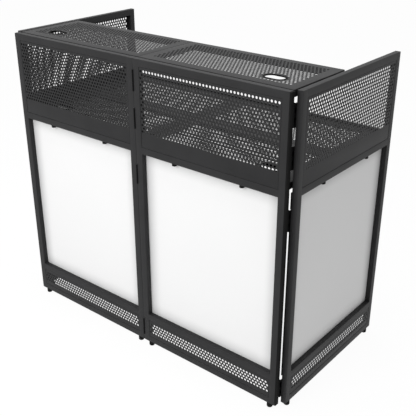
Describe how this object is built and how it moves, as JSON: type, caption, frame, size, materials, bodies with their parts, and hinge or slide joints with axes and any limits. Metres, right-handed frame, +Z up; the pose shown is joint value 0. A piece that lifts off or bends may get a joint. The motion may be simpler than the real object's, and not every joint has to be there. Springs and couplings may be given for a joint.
{
  "type": "folding dj booth",
  "caption": "Free-standing folding booth: hinged tube-frame panels with perforated steel tops, white fabric scrims, a perforated shelf and a deep work table behind, both with cable slots.",
  "frame": {"origin": "on the floor, under the middle of the bounding box", "axes": "+X along the front from the left wing to the right wing as seen from the audience, +Y from the audience to the performer, +Z up"},
  "size_m": [1.3004, 0.6534, 1.15],
  "materials": {
    "frame_steel": "black powder coat, satin, fine grain",
    "sheet_steel": "black powder coat, satin, fine grain",
    "hinge_steel": "black, satin",
    "pin_steel": "plain drawn steel",
    "scrim_fabric": "white stretch knit, matt, slightly see-through",
    "tape_fabric": "black hook-and-loop band, matt",
    "clip_steel": "black, satin",
    "foot_rubber": "black, matt",
    "rim_plastic": "black, matt"
  },
  "bodies": {
    "left_front": {"left_front_stiles": "frame_steel", "left_front_rails": "frame_steel", "left_front_mesh_panel": "sheet_steel", "left_front_kick_panel": "sheet_steel", "left_front_scrim": "scrim_fabric", "left_front_scrim_tape": "tape_fabric", "left_front_scrim_pegs": "foot_rubber", "left_front_feet": "foot_rubber", "left_front_ledges": "frame_steel", "left_front_edge_strip": "foot_rubber", "centre_hinge_left_leaves": "hinge_steel", "centre_hinge_pins": "pin_steel", "left_hinge_front_leaves": "hinge_steel", "left_hinge_pins": "pin_steel"},
    "right_front": {"right_front_stiles": "frame_steel", "right_front_rails": "frame_steel", "right_front_mesh_panel": "sheet_steel", "right_front_kick_panel": "sheet_steel", "right_front_scrim": "scrim_fabric", "right_front_scrim_tape": "tape_fabric", "right_front_scrim_pegs": "foot_rubber", "right_front_feet": "foot_rubber", "right_front_ledges": "frame_steel", "right_front_edge_strip": "foot_rubber", "centre_hinge_right_leaves": "hinge_steel", "right_hinge_front_leaves": "hinge_steel", "right_hinge_pins": "pin_steel"},
    "left_wing": {"left_wing_stiles": "frame_steel", "left_wing_rails": "frame_steel", "left_wing_mesh_panel": "sheet_steel", "left_wing_kick_panel": "sheet_steel", "left_wing_scrim": "scrim_fabric", "left_wing_scrim_tape": "tape_fabric", "left_wing_scrim_pegs": "foot_rubber", "left_wing_feet": "foot_rubber", "left_wing_ledges": "frame_steel", "left_hinge_wing_leaves": "hinge_steel"},
    "right_wing": {"right_wing_stiles": "frame_steel", "right_wing_rails": "frame_steel", "right_wing_mesh_panel": "sheet_steel", "right_wing_kick_panel": "sheet_steel", "right_wing_scrim": "scrim_fabric", "right_wing_scrim_tape": "tape_fabric", "right_wing_scrim_pegs": "foot_rubber", "right_wing_feet": "foot_rubber", "right_wing_ledges": "frame_steel", "right_hinge_wing_leaves": "hinge_steel"},
    "shelf": {"shelf_left_tray": "sheet_steel", "shelf_right_tray": "sheet_steel", "shelf_slot_rims": "rim_plastic", "shelf_clips": "clip_steel"},
    "table": {"table_left_front_tray": "sheet_steel", "table_right_front_tray": "sheet_steel", "table_left_back_tray": "sheet_steel", "table_right_back_tray": "sheet_steel", "table_slot_rims": "rim_plastic", "table_clips": "clip_steel", "table_bars": "frame_steel"}
  },
  "joints": [
    {"name": "centre_fold", "type": "hinge", "parent": "left_front", "child": "right_front", "pos_m": [0, -0.32375, 0.585], "axis": [0, 0, -1], "range_deg": [0, 180]},
    {"name": "right_wing_fold", "type": "hinge", "parent": "right_front", "child": "right_wing", "pos_m": [0.6252, -0.29825, 0.585], "axis": [0, 0, -1], "range_deg": [0, 90]},
    {"name": "left_wing_fold", "type": "hinge", "parent": "left_front", "child": "left_wing", "pos_m": [-0.6252, -0.29825, 0.585], "axis": [0, 0, 1], "range_deg": [0, 90]},
    {"name": "shelf_lift", "type": "slide", "parent": "left_front", "child": "shelf", "axis": [0, 0, 1], "range_m": [0, 0.3]},
    {"name": "table_slide", "type": "slide", "parent": "left_front", "child": "table", "axis": [0, 1, 0], "range_m": [0, 0.4]}
  ]
}
